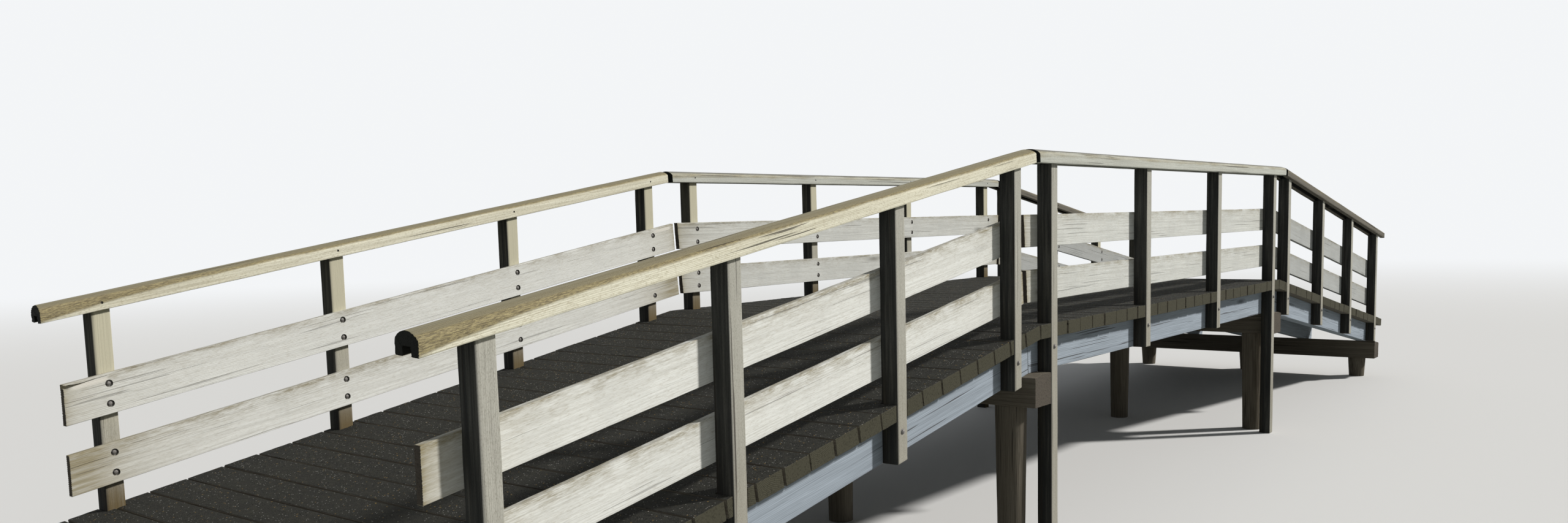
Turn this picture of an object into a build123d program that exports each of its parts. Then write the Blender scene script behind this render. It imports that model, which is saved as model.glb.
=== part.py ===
from build123d import *
from math import cos, radians, sin, tan
import os

# Wooden footbridge over a ditch: a level middle between two ramps, with a railing on both sides.
# Origin: middle of the bridge at the foot of its piles. X runs along the bridge, Y to its left, Z up.
# Sizes are in millimetres and degrees. Heights over the deck are square to the walking surface.

# Line of the deck
deck_height = 1450.0          # walking surface of the level middle above the foot of the piles
ramp_angle = 9.3              # slope of both ramps
clear_width = 2940.0          # between the inner faces of opposite posts

# Posts and their spacing, measured along the deck
post_width = 90.0             # along the bridge
post_depth = 95.0             # across the bridge
post_edge = 4.0               # worn arris of a post
level_bay = 1568.0
ramp_bay = 1300.0
bays = 3                      # bays between the posts of each stretch

# Deck planks, laid across the bridge
planks_in_level_bay = 8.0
planks_in_ramp_bay = 6.5
plank_thickness = 88.0
plank_gap = 8.0
plank_edge = 6.0              # worn arris along the walking surface
plank_overhang = 98.0         # beyond the outer face of the edge beams
notch_clearance = 6.0         # around each post where it passes the plank ends
level_post_planks = 1.0       # planks between a bend and the first post of the level stretch
ramp_post_planks = 1.5        # planks between a bend and the first post of a ramp
ramp_end_planks = 2.0         # planks beyond the last post of a ramp

# Lengthwise beams under the deck
beam_depth = 220.0
edge_beam_width = 120.0
inner_beam_width = 100.0
inner_beam_count = 3
beam_butt_gap = 4.0           # between the beams of two stretches
beam_end_setback = 40.0       # beams stop short of the deck's outer ends

# Railing boards on the inner faces of the posts
board_height = 200.0
board_thickness = 35.0
board_edge = 4.0              # worn arris of a board
lower_board_lift = 134.0      # underside above the deck
upper_board_lift = 476.0
board_overrun = 210.0         # from the last post's middle to the plumb end of a ramp's boards
bend_gap = 45.0               # opening between the rails and boards of two stretches

# Handrail on top of the posts
handrail_lift = 985.0         # underside above the deck
handrail_width = 157.0
handrail_side = 60.0          # height of its flat sides
handrail_crown = 26.0         # rise of its rounded top above the sides
handrail_overrun = 272.0      # from the last post's middle to the plumb end of a ramp's rail
groove_width = 55.0           # relief groove along the underside
groove_depth = 34.0

# Supports
cap_width = 220.0             # along the bridge
cap_depth = 200.0
cap_end_margin = 150.0        # from the deck's outer end to the end cap beam
pile_diameter = 200.0         # at the head
pile_toe_diameter = 170.0
piles_in_row = 3
pile_inset = 130.0            # axis of the outer piles inside the edge beams' outer face

# Values worked out from the sizes above
level_pitch = level_bay / planks_in_level_bay
ramp_pitch = ramp_bay / planks_in_ramp_bay
level_length = bays * level_bay + 2 * level_post_planks * level_pitch
ramp_end = ramp_end_planks * ramp_pitch
ramp_length = ramp_end + bays * ramp_bay + ramp_post_planks * ramp_pitch
half_clear = clear_width / 2
post_outer_face = half_clear + post_depth
deck_half_width = half_clear + plank_overhang
beam_top = -plank_thickness
beam_bottom = beam_top - beam_depth
handrail_top = handrail_lift + handrail_side + handrail_crown
mitre = tan(radians(ramp_angle / 2))     # a mitred end moves by this much for each unit of height
slope = tan(radians(ramp_angle))         # and a plumb end of a ramp's member by this much
bend_x = level_length / 2
ramp_run = ramp_length * cos(radians(ramp_angle))
ramp_rise = ramp_length * sin(radians(ramp_angle))


class Stretch:
    """One straight stretch of the bridge: where it starts, its slope, its planks and its posts."""

    def __init__(self, name, start, angle, length, pitch, first_post, bay, bends):
        self.name = name
        self.start_x, self.start_z = start
        self.cosine = cos(radians(angle))
        self.sine = sin(radians(angle))
        self.length = length
        self.pitch = pitch
        self.post_stations = [first_post + bay * number for number in range(bays + 1)]
        self.bend_at_start, self.bend_at_end = bends

    def point(self, along, height):
        """Side-view point, from the distance along the deck and the height square to it."""
        x = self.start_x + along * self.cosine - height * self.sine
        z = self.start_z + along * self.sine + height * self.cosine
        return x, z

    def level_at(self, x, height):
        """Height in space, at a place x, of the line that runs parallel to the deck."""
        return self.start_z + ((x - self.start_x) * self.sine + height) / self.cosine

    def post_places(self):
        """Place x of each post's middle."""
        return [self.point(station, 0)[0] for station in self.post_stations]

    def member(self, low, high, gap, setback, lean=0.0):
        """Side-view corners of a lengthwise member, mitred at a bend. At an outer end it stops short
        of the deck by a setback, plus a lean for each unit of height."""
        corners = []
        for height, forwards in ((low, True), (high, False)):
            margin = setback + height * lean
            first = gap / 2 - height * mitre if self.bend_at_start else margin
            last = self.length - gap / 2 + height * mitre if self.bend_at_end else self.length - margin
            pair = [self.point(first, height), self.point(last, height)]
            corners += pair if forwards else reversed(pair)
        return corners


near = Stretch("near", (-bend_x - ramp_run, deck_height - ramp_rise), ramp_angle, ramp_length,
               ramp_pitch, ramp_end, ramp_bay, (False, True))
middle = Stretch("middle", (-bend_x, deck_height), 0.0, level_length,
                 level_pitch, level_post_planks * level_pitch, level_bay, (True, True))
far = Stretch("far", (bend_x, deck_height), -ramp_angle, ramp_length,
              ramp_pitch, ramp_post_planks * ramp_pitch, ramp_bay, (True, False))
sides = (("left", 1), ("right", -1))


def side_view(y):
    """Plane of a side view at a distance y to the left, with X to the right and Z up."""
    return Plane(origin=(0, y, 0), x_dir=(1, 0, 0), z_dir=(0, -1, 0))


def plumb_end(overrun):
    """Setback and lean of an outer end that is cut plumb beyond the last post."""
    return ramp_end - overrun / cos(radians(ramp_angle)), slope


def side_slab(side, inner, outer):
    """Side-view plane on the left face of a slab between two distances from the middle."""
    return side_view(max(side * inner, side * outer))


def outline(corners):
    """Face through corners that keep their own places, in the sketch that is open."""
    Polygon(*corners, align=None)


def ease_edges(part, direction, size):
    """Chamfer the edges of a finished prism that run in one direction."""
    chamfer(part.edges().filter_by(Axis((0, 0, 0), direction)), size)


def save(part, name):
    part.label = name
    export_step(part, f"parts/{name}.step")


def make_board(stretch, side_name, side, tier, lift):
    with BuildPart() as board:
        with BuildSketch(side_slab(side, half_clear - board_thickness, half_clear)):
            outline(stretch.member(lift, lift + board_height, bend_gap, *plumb_end(board_overrun)))
        extrude(amount=board_thickness)
        ease_edges(board, (stretch.cosine, 0, stretch.sine), board_edge)
    save(board.part, f"{tier}_board_{side_name}_{stretch.name}")


def make_handrail(stretch, side_name, side):
    """The rail's profile is run past both ends and then cut to its mitres."""
    centre = side * (half_clear + post_depth / 2)
    edge = handrail_width / 2
    groove = groove_width / 2
    spare = handrail_top
    x, z = stretch.point(-spare, handrail_lift)
    section = Plane(origin=(x, centre, z), x_dir=(0, 1, 0), z_dir=(stretch.cosine, 0, stretch.sine))
    ends = stretch.member(handrail_lift - groove_depth, handrail_top + groove_depth, bend_gap,
                          *plumb_end(handrail_overrun))
    with BuildPart() as rail:
        with BuildSketch(section):
            with BuildLine():
                ThreePointArc((-edge, handrail_side), (0, handrail_side + handrail_crown),
                              (edge, handrail_side))
                Polyline((edge, handrail_side), (edge, 0), (groove, 0), (groove, groove_depth),
                         (-groove, groove_depth), (-groove, 0), (-edge, 0), (-edge, handrail_side))
            make_face()
        extrude(amount=stretch.length + 2 * spare)
        with BuildSketch(side_view(centre + edge)):
            outline(ends)
        extrude(amount=handrail_width, mode=Mode.INTERSECT)
    save(rail.part, f"handrail_{side_name}_{stretch.name}")


def post_corners(stretch, x, low, high, spare):
    """Side view of a plumb post whose foot and head follow the slope of the deck."""
    front = x - post_width / 2 - spare
    back = x + post_width / 2 + spare
    return [(front, stretch.level_at(front, low)), (back, stretch.level_at(back, low)),
            (back, stretch.level_at(back, high)), (front, stretch.level_at(front, high))]


def make_posts(stretch, side_name, side):
    """Posts stand on the outer face of the edge beam. Those beside a bend run down as piles."""
    pile_foot = -deck_height
    with BuildPart() as posts:
        for number, x in enumerate(stretch.post_places()):
            is_pile = stretch is middle and number in (0, bays)
            foot = pile_foot if is_pile else beam_bottom
            with BuildSketch(side_slab(side, half_clear, post_outer_face)):
                outline(post_corners(stretch, x, foot, handrail_lift, 0))
            extrude(amount=post_depth)
        ease_edges(posts, (0, 0, 1), post_edge)
    save(posts.part, f"posts_{side_name}_{stretch.name}")


def plank_corners(stretch, number, count):
    """Side view of one plank, with worn upper edges and its foot mitred beside a bend."""
    first = number * stretch.pitch + plank_gap / 2
    last = (number + 1) * stretch.pitch - plank_gap / 2
    wedge = plank_thickness * mitre
    low_first = first + wedge if number == 0 and stretch.bend_at_start else first
    low_last = last - wedge if number == count - 1 and stretch.bend_at_end else last
    places = ((low_first, beam_top), (low_last, beam_top), (last, -plank_edge), (last - plank_edge, 0),
              (first + plank_edge, 0), (first, -plank_edge))
    return [stretch.point(along, height) for along, height in places]


def make_deck(stretch):
    """Planks laid across the beams, with their ends notched around the plumb posts."""
    count = round(stretch.length / stretch.pitch)
    notch_face = half_clear - notch_clearance
    notch_bottom = beam_top - notch_clearance
    with BuildPart() as deck:
        with BuildSketch(side_view(deck_half_width)):
            for number in range(count):
                outline(plank_corners(stretch, number, count))
        extrude(amount=2 * deck_half_width)
        for side in (1, -1):
            with BuildSketch(side_slab(side, notch_face, deck_half_width)):
                for x in stretch.post_places():
                    outline(post_corners(stretch, x, notch_bottom, notch_clearance, notch_clearance))
            extrude(amount=deck_half_width - notch_face, mode=Mode.SUBTRACT)
    save(deck.part, f"deck_{stretch.name}")


def make_edge_beam(stretch, side_name, side):
    with BuildPart() as beam:
        with BuildSketch(side_slab(side, half_clear - edge_beam_width, half_clear)):
            outline(stretch.member(beam_bottom, beam_top, beam_butt_gap, beam_end_setback))
        extrude(amount=edge_beam_width)
    save(beam.part, f"edge_beam_{side_name}_{stretch.name}")


def make_inner_beams(stretch):
    """Inner beams share the width between the edge beams evenly."""
    span = clear_width - edge_beam_width
    step = span / (inner_beam_count + 1)
    with BuildPart() as beams:
        for number in range(inner_beam_count):
            middle_line = step * (number + 1) - span / 2
            with BuildSketch(side_view(middle_line + inner_beam_width / 2)):
                outline(stretch.member(beam_bottom, beam_top, beam_butt_gap, beam_end_setback))
            extrude(amount=inner_beam_width)
    save(beams.part, f"inner_beams_{stretch.name}")


def beam_underside(x):
    """Height of the beams' underside over a place along the bridge."""
    return min(stretch.level_at(x, beam_bottom) for stretch in (near, middle, far))


def cap_corners(x):
    """Side view of a cap beam whose top follows the beams' underside, also across a bend."""
    ridge = bend_x + beam_bottom * mitre
    left = x - cap_width / 2
    right = x + cap_width / 2
    places = [left, right] + [place for place in (-ridge, ridge) if left < place < right]
    top = [(place, beam_underside(place)) for place in sorted(places, reverse=True)]
    base = beam_underside(x) - cap_depth
    return [(left, base), (right, base), *top]


def make_cap(name, x):
    with BuildPart() as cap:
        with BuildSketch(side_view(post_outer_face)):
            outline(cap_corners(x))
        extrude(amount=2 * post_outer_face)
    save(cap.part, f"cap_beam_{name}")


def make_piles(name, x):
    """Round piles under a cap beam, thinner towards the toe."""
    outer = half_clear - pile_inset
    step = 2 * outer / (piles_in_row - 1)
    row = [(x, step * number - outer) for number in range(piles_in_row)]
    with BuildPart() as piles:
        for place in row:
            with BuildSketch(Plane.XY):
                with Locations(place):
                    Circle(pile_toe_diameter / 2)
            with BuildSketch(Plane.XY.offset(beam_underside(x) - cap_depth)):
                with Locations(place):
                    Circle(pile_diameter / 2)
            loft()
    save(piles.part, f"piles_{name}")


def make_supports():
    """Cap beams at the bends lie against the pile posts. The end ones lie near the deck's ends."""
    bend_cap = middle.post_places()[0] - (post_width + cap_width) / 2
    end_cap = near.point(cap_end_margin + cap_width / 2, 0)[0]
    rows = (("near_end", end_cap), ("near_bend", bend_cap), ("far_bend", -bend_cap), ("far_end", -end_cap))
    for name, x in rows:
        make_cap(name, x)
        make_piles(name, x)


os.makedirs("parts", exist_ok=True)
for stretch in (near, middle, far):
    make_deck(stretch)
    make_inner_beams(stretch)
    for side_name, side in sides:
        make_edge_beam(stretch, side_name, side)
        make_posts(stretch, side_name, side)
        make_board(stretch, side_name, side, "lower", lower_board_lift)
        make_board(stretch, side_name, side, "upper", upper_board_lift)
        make_handrail(stretch, side_name, side)
make_supports()
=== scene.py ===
import math
from itertools import product

import bpy
import numpy as np
from mathutils import Matrix, Vector


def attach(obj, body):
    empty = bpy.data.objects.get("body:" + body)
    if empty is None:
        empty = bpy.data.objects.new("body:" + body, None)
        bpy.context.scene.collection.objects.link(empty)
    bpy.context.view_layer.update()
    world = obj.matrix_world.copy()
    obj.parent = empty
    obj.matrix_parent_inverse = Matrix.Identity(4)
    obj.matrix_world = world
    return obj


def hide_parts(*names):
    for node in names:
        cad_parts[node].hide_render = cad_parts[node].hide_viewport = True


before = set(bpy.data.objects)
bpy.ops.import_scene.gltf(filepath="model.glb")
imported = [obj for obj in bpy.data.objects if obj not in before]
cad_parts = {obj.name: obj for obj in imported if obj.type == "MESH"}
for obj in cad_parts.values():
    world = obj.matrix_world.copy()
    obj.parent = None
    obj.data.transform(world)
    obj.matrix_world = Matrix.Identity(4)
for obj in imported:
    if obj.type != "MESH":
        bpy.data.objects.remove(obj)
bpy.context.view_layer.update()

# Sizes of the bridge, in metres, as in the CAD model. Heights are square to the deck, from its top.
DECK_Z = 1.450  # top of the level deck above the piles' feet
RAMP = math.radians(9.3)
HALF_CLEAR = 1.470  # from the middle to a post's inner face
POST_W, POST_D = 0.090, 0.095  # along and across the bridge
BAYS = 3  # between the posts of a stretch
LEVEL_BAY, RAMP_BAY = 1.568, 1.300
LEVEL_PITCH, RAMP_PITCH = LEVEL_BAY / 8, RAMP_BAY / 6.5  # from plank to plank
PLANK_T, PLANK_GAP, PLANK_OUT, NOTCH = 0.088, 0.008, 0.098, 0.006
BEAM_H, EDGE_BEAM_W, INNER_BEAM_W = 0.220, 0.120, 0.100
BEAM_GAP, BEAM_SETBACK = 0.004, 0.040
BOARD_H, BOARD_T = 0.200, 0.035
TIERS = {"lower": 0.134, "upper": 0.476}  # heights of the boards' lower edges
BOARD_OVERRUN, BEND_GAP = 0.210, 0.045
RAIL_LIFT, RAIL_W, RAIL_SIDE, RAIL_CROWN, RAIL_OVERRUN = 0.985, 0.157, 0.060, 0.026, 0.272
GROOVE_W, GROOVE_D = 0.055, 0.034
CAP_W, CAP_D, CAP_MARGIN = 0.220, 0.200, 0.150
PILE_R, PILE_TOE_R, PILE_INSET, PILES_IN_ROW = 0.100, 0.085, 0.130, 3
RAMP_END = 2 * RAMP_PITCH  # from a ramp's end to its last post
LEVEL_LENGTH = BAYS * LEVEL_BAY + 2 * LEVEL_PITCH
RAMP_LENGTH = RAMP_END + BAYS * RAMP_BAY + 1.5 * RAMP_PITCH
MITRE = math.tan(RAMP / 2)
BEND_X = LEVEL_LENGTH / 2
BEAM_BOTTOM = -PLANK_T - BEAM_H
SIDES = (("left", 1), ("right", -1))

# How the timbers are divided and worn, in metres
END_RINGS = (0, 0.002, 0.006, 0.015, 0.035)  # where the rings near an end lie
UPRIGHT_RINGS = (0, 0.002, 0.006, 0.014, 0.030)
BOARD_RINGS = (0, 0.0012, 0.003, 0.006, 0.011, 0.020, 0.034, 0.055)
RAIL_RINGS = (0, 0.0015, 0.004, 0.008, 0.014, 0.024, 0.040)
SAWN_WEAR, PLANK_WEAR, BEAM_WEAR = 0.0036, 0.0055, 0.004  # radius of the worn arrises
BEAM_BOW = 0.0006
CRACK_EDGE, CRACK_CLEAR = 0.0014, 0.0026  # half a crack's width; room kept free beside it
SHARP_ANGLE = math.radians(35)


class Stretch:
    """One straight stretch of the bridge, in the CAD model's terms."""

    def __init__(self, name, start, angle, length, pitch, first_post, bay, bends):
        self.name = name
        self.x, self.z = start
        self.c, self.s = math.cos(angle), math.sin(angle)
        self.length, self.pitch = length, pitch
        self.posts = [first_post + bay * n for n in range(BAYS + 1)]
        self.bends = bends

    def frame(self, y, height):
        """Local frame along the stretch: s along, u to the left, v square to the deck."""
        origin = np.array((self.x - height * self.s, y, self.z + height * self.c))
        return origin, np.array(((self.c, 0, self.s), (0, 1, 0), (-self.s, 0, self.c)))

    def level_at(self, x, height):
        return self.z + ((x - self.x) * self.s + height) / self.c

    def post_x(self, number):
        return self.x + self.posts[number] * self.c

    def over_post(self, number, height):
        """How far along the stretch the middle of a plumb post is at a height."""
        return self.posts[number] + height * self.s / self.c

    def ends(self, gap, height, margin=0.0, overrun=0.0):
        """The (constant, change per v) of both ends of a member whose v = 0 is at a height.
        Beyond the last post it is cut square at a margin, or plumb at an overrun."""
        lean = math.tan(RAMP) if overrun else 0.0
        if overrun:
            margin = RAMP_END - overrun / math.cos(RAMP) + height * lean
        first = (gap / 2 - height * MITRE, -MITRE) if self.bends[0] else (margin, lean)
        last = self.length - gap / 2 + height * MITRE
        last = (last, MITRE) if self.bends[1] else (self.length - margin, -lean)
        return first, last


near = Stretch("near", (-BEND_X - RAMP_LENGTH * math.cos(RAMP), DECK_Z - RAMP_LENGTH * math.sin(RAMP)),
               RAMP, RAMP_LENGTH, RAMP_PITCH, RAMP_END, RAMP_BAY, (False, True))
middle = Stretch("middle", (-BEND_X, DECK_Z), 0.0, LEVEL_LENGTH,
                 LEVEL_PITCH, LEVEL_PITCH, LEVEL_BAY, (True, True))
far = Stretch("far", (BEND_X, DECK_Z), -RAMP, RAMP_LENGTH,
              RAMP_PITCH, 1.5 * RAMP_PITCH, RAMP_BAY, (True, False))
STRETCHES = (near, middle, far)
PLUMB = np.array(((0, 0, 1), (0, 1, 0), (1, 0, 0)))  # s up, u to the left, v along the bridge


# ---- numbers and noise ----

def unit(values):
    """The values, held between 0 and 1."""
    return np.clip(values, 0, 1)


def lattice(i, j, k, seed):
    """A fixed random number from -1 to 1 for each lattice point."""
    h = (i * 374761393 + j * 668265263 + k * 1274126177 + seed * 974711) & 0xFFFFFFFF
    h = ((h ^ (h >> 13)) * 1103515245) & 0xFFFFFFFF
    h = ((h ^ (h >> 15)) * 2246822519) & 0xFFFFFFFF
    return ((h ^ (h >> 16)) & 0xFFFF) / 32767.5 - 1.0


def noise(x, y, z, seed):
    """Smooth value noise from -1 to 1 over arrays of coordinates."""
    x, y, z = np.broadcast_arrays(*(np.asarray(a, float) for a in (x, y, z)))
    cells = [np.floor(a).astype(np.int64) for a in (x, y, z)]
    fractions = [a - c for a, c in zip((x, y, z), cells)]
    fx, fy, fz = (f * f * (3 - 2 * f) for f in fractions)
    total = np.zeros(x.shape)
    for di in (0, 1):
        for dj in (0, 1):
            for dk in (0, 1):
                weight = (fx if di else 1 - fx) * (fy if dj else 1 - fy) * (fz if dk else 1 - fz)
                total += weight * lattice(cells[0] + di, cells[1] + dj, cells[2] + dk, seed)
    return total


# ---- solids in local coordinates (s along, u across, v up) ----

class Solid:
    """Vertices, and faces as one list of corner numbers with each face's number of corners."""

    def __init__(self, verts, corners, sizes):
        self.verts = np.asarray(verts, float)
        self.corners = np.asarray(corners, np.int64)
        self.sizes = np.asarray(sizes, np.int64)

    def starts(self):
        return np.concatenate(((0,), np.cumsum(self.sizes)[:-1]))

    def facing_out(self):
        """Turns every face over if the solid is inside out."""
        starts = self.starts()
        volume = 0.0
        for k in range(1, int(self.sizes.max()) - 1):
            has = self.sizes > k + 1
            a, b, c = (self.verts[self.corners[starts[has] + n]] for n in (0, k, k + 1))
            volume += float(np.einsum("ij,ij->i", a, np.cross(b, c)).sum())
        if volume < 0:
            turned = [self.corners[i:i + n][::-1] for i, n in zip(starts, self.sizes)]
            self.corners = np.concatenate(turned)
        return self


def stations(length, step, fine):
    """Shares of the length for the rings: close together at both ends, then about a step apart."""
    inner = np.linspace(fine[-1] + step, length - fine[-1] - step,
                        max(2, round((length - 2 * fine[-1]) / step) - 1))
    return np.concatenate((fine, inner, length - np.array(fine)[::-1])) / length


def half_ring(points, step):
    """Points along an open outline from bottom centre to top centre, at most a step apart."""
    out = [points[0]]
    for a, b in zip(points[:-1], points[1:]):
        count = max(1, math.ceil(math.dist(a, b) / step))
        out += [(a[0] + (b[0] - a[0]) * n / count, a[1] + (b[1] - a[1]) * n / count)
                for n in range(1, count + 1)]
    return out


class Profile:
    """A fixed cross-section, given as its right half from bottom centre to top centre."""

    worn = 1.0      # how much each point of the outline wears back at the ends

    def __init__(self, half):
        self.nominal = np.array(half + [(-u, v) for u, v in half[-2:0:-1]])

    def at(self, s, seed):
        return np.broadcast_to(self.nominal, (len(s), *self.nominal.shape)).copy()


class Loop(Profile):
    """A fixed cross-section of any shape, from the corners of its outline, with small bevels."""

    def __init__(self, corners, bevel, step):
        corners = np.array(corners, float)
        points = []
        for before, corner, after in zip(np.roll(corners, 1, 0), corners, np.roll(corners, -1, 0)):
            for other in (before, after):
                points.append(corner + (other - corner) / np.linalg.norm(other - corner) * bevel)
        self.nominal = np.array(half_ring(points + points[:1], step)[:-1])


class Round(Profile):
    """A round section that grows evenly over a length, from one radius to another."""

    def __init__(self, first, last, length, sides=44):
        angles = 2 * np.pi * np.arange(sides) / sides
        self.first, self.last, self.length = first, last, length
        self.nominal = last * np.stack((np.sin(angles), -np.cos(angles)), 1)

    def at(self, s, seed):
        radius = self.first + (self.last - self.first) * unit(s / self.length)
        return self.nominal * (radius / self.last)[:, None, None]


class Rounded(Profile):
    """A sawn rectangle whose arrises are worn to a radius that varies along it."""

    def __init__(self, width, height, radius, step, columns=()):
        """Columns are the heights at which the sides get a crack."""
        self.w, self.h, self.r = width / 2, height, radius
        reach = 2.2 * radius        # the radius varies up to twice its usual size
        self.us = np.linspace(0, self.w - reach, max(2, math.ceil((self.w - reach) / step) + 1))
        vs = np.linspace(reach, height - reach, max(2, math.ceil((height - 2 * reach) / step) + 1))
        for column in columns:
            vs = vs[np.abs(vs - column) > CRACK_CLEAR]
            vs = np.concatenate((vs, (column - CRACK_EDGE, column, column + CRACK_EDGE)))
        self.vs = np.sort(vs)
        self.arc = np.radians((0, 22.5, 45, 67.5, 90))
        self.nominal = self.loop(np.full((1, 4), radius))[0]

    def side(self, low, high):
        """Right half for given lower and upper radii (arrays)."""
        w, h, zero = self.w, self.h, np.zeros(len(low))
        points = [(zero + x, zero) for x in self.us]
        points += [(w - low + low * math.sin(a), low - low * math.cos(a)) for a in self.arc]
        points += [(zero + w, zero + x) for x in self.vs]
        points += [(w - high + high * math.cos(a), h - high + high * math.sin(a)) for a in self.arc]
        points += [(zero + x, zero + h) for x in self.us[::-1]]
        return np.array(points).transpose(2, 0, 1)

    def loop(self, radii):
        right = self.side(radii[:, 0], radii[:, 1])
        left = self.side(radii[:, 2], radii[:, 3])[:, -2:0:-1] * (-1, 1)
        return np.concatenate((right, left), 1)

    def at(self, s, seed):
        corner = np.arange(4)[None, :] * 3.7     # each arris wears by itself
        worn = 0.70 + 0.45 * noise(s[:, None] * 6, corner, 0.5, seed + 2)
        chip = unit(noise(s[:, None] * 19, corner, 0.5, seed + 3) - 0.42) * 2.4
        return self.loop(self.r * np.clip(worn + chip, 0.35, 2.0))


def ring_normals(ring):
    tangent = np.roll(ring, -1, 0) - np.roll(ring, 1, 0)
    normal = np.stack((tangent[:, 1], -tangent[:, 0]), 1)
    return normal / np.linalg.norm(normal, axis=1)[:, None]


def timber(section, first, last, shares, seed, relief=0.0005, bow=0.001, teeth=0.0,
           tooth_pitch=0.0095, inset=0.002, strips=False, cracks=(), skew=0.0):
    """A sawn and weathered member: worn arrises, slight bow, rough ends worn back, long cracks.
    Strips divide the end faces, which keeps the cuts of the boards clean."""
    nominal = section.nominal
    n, rows = len(nominal), len(shares)
    normal = ring_normals(nominal)
    start = first[0] + first[1] * nominal[:, 1] + skew * nominal[:, 0]
    end = last[0] + last[1] * nominal[:, 1]
    s = start + (end - start) * np.asarray(shares)[:, None]
    outline = section.at(s[:, 0], seed)
    u, v = outline[..., 0], outline[..., 1]
    to_end = np.minimum(s - start, end - s)
    finer = noise(s * 11, u * 190, v * 190, seed + 1)
    push = relief * (noise(s * 4, u * 70, v * 70, seed) + 0.5 * finer)
    push -= inset * section.worn * np.exp(-to_end / (0.6 * inset + 1e-6))
    for side, height, start_s, end_s, depth, drift in cracks:
        off = np.abs(nominal[:, 1] - height)
        inside = unit((end_s - s) / 0.06)
        if start_s > 0:
            inside = inside * unit((s - start_s) / 0.03)
        wander = drift * noise(s * 9, 0.5, 0.5, seed + 4)
        beside = (u * side > 0) & (np.abs(normal[:, 0]) > 0.9) & (off < CRACK_EDGE + 0.0002)
        push -= np.where(beside & (off < 0.0006), depth * inside, 0)
        v = np.where(beside, v + wander * inside, v)
    u = u + push * normal[:, 0] + bow * noise(s * 0.55, 0.3, 0.7, seed + 5)
    v = v + push * normal[:, 1] + bow * noise(s * 0.5, 5.3, 0.7, seed + 6)
    if teeth:
        x = nominal[:, 1] / tooth_pitch + 0.9 * noise(nominal[:, 1] * 45, 0.3, 0.5, seed + 7)
        ridge = 1 - np.abs(2 * (x - np.floor(x)) - 1)
        broad = 0.5 + 0.5 * noise(nominal[:, 1] * 26, 0.4 + nominal[:, 0] * 12, 0.8, seed + 8)
        bite = ridge * (0.35 + 0.3 * broad) + 0.35 * broad
        fade = np.exp(-to_end / 0.006)
        s = s + np.where(s - start < end - s, 1, -1) * fade * teeth * bite[None, :]
    verts = np.stack((s, u, v), 2).reshape(-1, 3)
    i = np.arange(n)
    j = (i + 1) % n
    base = (np.arange(rows - 1) * n)[:, None]
    sides = np.stack((base + i, base + j, base + n + j, base + n + i), 2).reshape(-1)
    corners, sizes = [sides], [4] * ((rows - 1) * n)
    for offset, flip in ((0, True), ((rows - 1) * n, False)):
        if strips:
            half, flat = n // 2, len(section.us)
            faces = [[*range(n - flat, n), *range(flat + 1)],
                     [*range(half - flat, half + flat + 1)]]
            faces += [[k, k + 1, n - k - 1, n - k] for k in range(flat, half - flat)]
            for face in faces:
                corners.append(np.array(face[::-1] if flip else face) + offset)
                sizes.append(len(face))
        else:
            corners.append((i[::-1] if flip else i) + offset)
            sizes.append(n)
    return Solid(verts, np.concatenate(corners), sizes).facing_out()


def prism(outline, low, high, axis):
    """Plain prism used as a cutting tool; the outline lies square to a local axis."""
    n = len(outline)
    verts = np.concatenate([np.insert(outline, axis, level, 1) for level in sorted((low, high))])
    i = np.arange(n)
    j = (i + 1) % n
    quads = np.stack((i, j, j + n, i + n), 1).reshape(-1)
    return Solid(verts, np.concatenate((i[::-1], i + n, quads)), [n, n] + [4] * n).facing_out()


def circle(s, v, radius, sides=28):
    angles = [2 * math.pi * k / sides for k in range(sides)]
    return [(s + radius * math.cos(a), v + radius * math.sin(a)) for a in angles]


def merged(solids):
    offsets = np.cumsum([0] + [len(x.verts) for x in solids[:-1]])
    return Solid(np.concatenate([x.verts for x in solids]),
                 np.concatenate([x.corners + o for x, o in zip(solids, offsets)]),
                 np.concatenate([x.sizes for x in solids]))


def to_mesh(name, solid):
    mesh = bpy.data.meshes.new(name)
    mesh.vertices.add(len(solid.verts))
    mesh.vertices.foreach_set("co", solid.verts.astype(np.float32).ravel())
    mesh.loops.add(len(solid.corners))
    mesh.loops.foreach_set("vertex_index", solid.corners.astype(np.int32))
    mesh.polygons.add(len(solid.sizes))
    mesh.polygons.foreach_set("loop_start", solid.starts().astype(np.int32))
    mesh.update(calc_edges=True)
    return mesh


def put(name, data):
    """A new object in the scene."""
    made = bpy.data.objects.new(name, data)
    bpy.context.scene.collection.objects.link(made)
    return made


def carve(solid, tools):
    """The solid less its cutting tools."""
    shapes = (("body", solid), ("tool", merged(tools)))
    objects = [put(name, to_mesh(name, shape)) for name, shape in shapes]
    cut = objects[0].modifiers.new("cut", "BOOLEAN")
    cut.operation, cut.solver, cut.object = "DIFFERENCE", "EXACT", objects[1]
    graph = bpy.context.evaluated_depsgraph_get()
    mesh = bpy.data.meshes.new_from_object(objects[0].evaluated_get(graph))
    verts = np.zeros(len(mesh.vertices) * 3)
    mesh.vertices.foreach_get("co", verts)
    corners = np.zeros(len(mesh.loops), np.int32)
    mesh.loops.foreach_get("vertex_index", corners)
    sizes = np.zeros(len(mesh.polygons), np.int32)
    mesh.polygons.foreach_get("loop_total", sizes)
    for o in objects:
        bpy.data.objects.remove(o)
    return Solid(verts.reshape(-1, 3), corners, sizes)


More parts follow.
